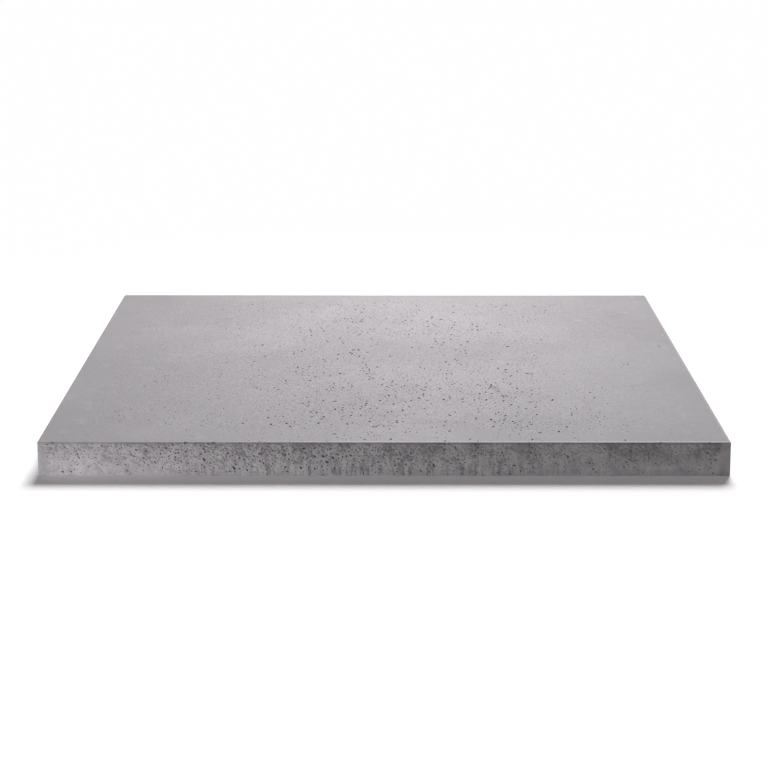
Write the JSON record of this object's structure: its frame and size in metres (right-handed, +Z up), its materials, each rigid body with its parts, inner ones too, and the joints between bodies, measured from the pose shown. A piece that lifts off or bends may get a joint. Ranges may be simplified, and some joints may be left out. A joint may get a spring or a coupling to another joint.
{
  "type": "concrete paving slab",
  "caption": "Large square cast-concrete paving slab with drafted sides, finely rounded edges and a pored grey walking face, laid flat on a bed to pave paths and terraces.",
  "frame": {"origin": "centre of the bedding face, on the surface that the slab lies on", "axes": "+Z up, out of the walking face; +X to the right and -Y towards the front side, as the picture shows it"},
  "size_m": [1, 1, 0.05],
  "materials": {
    "concrete": "matt cast concrete, smooth mould face with open air pores"
  },
  "bodies": {
    "root": {"paving_slab": "concrete"}
  },
  "joints": []
}
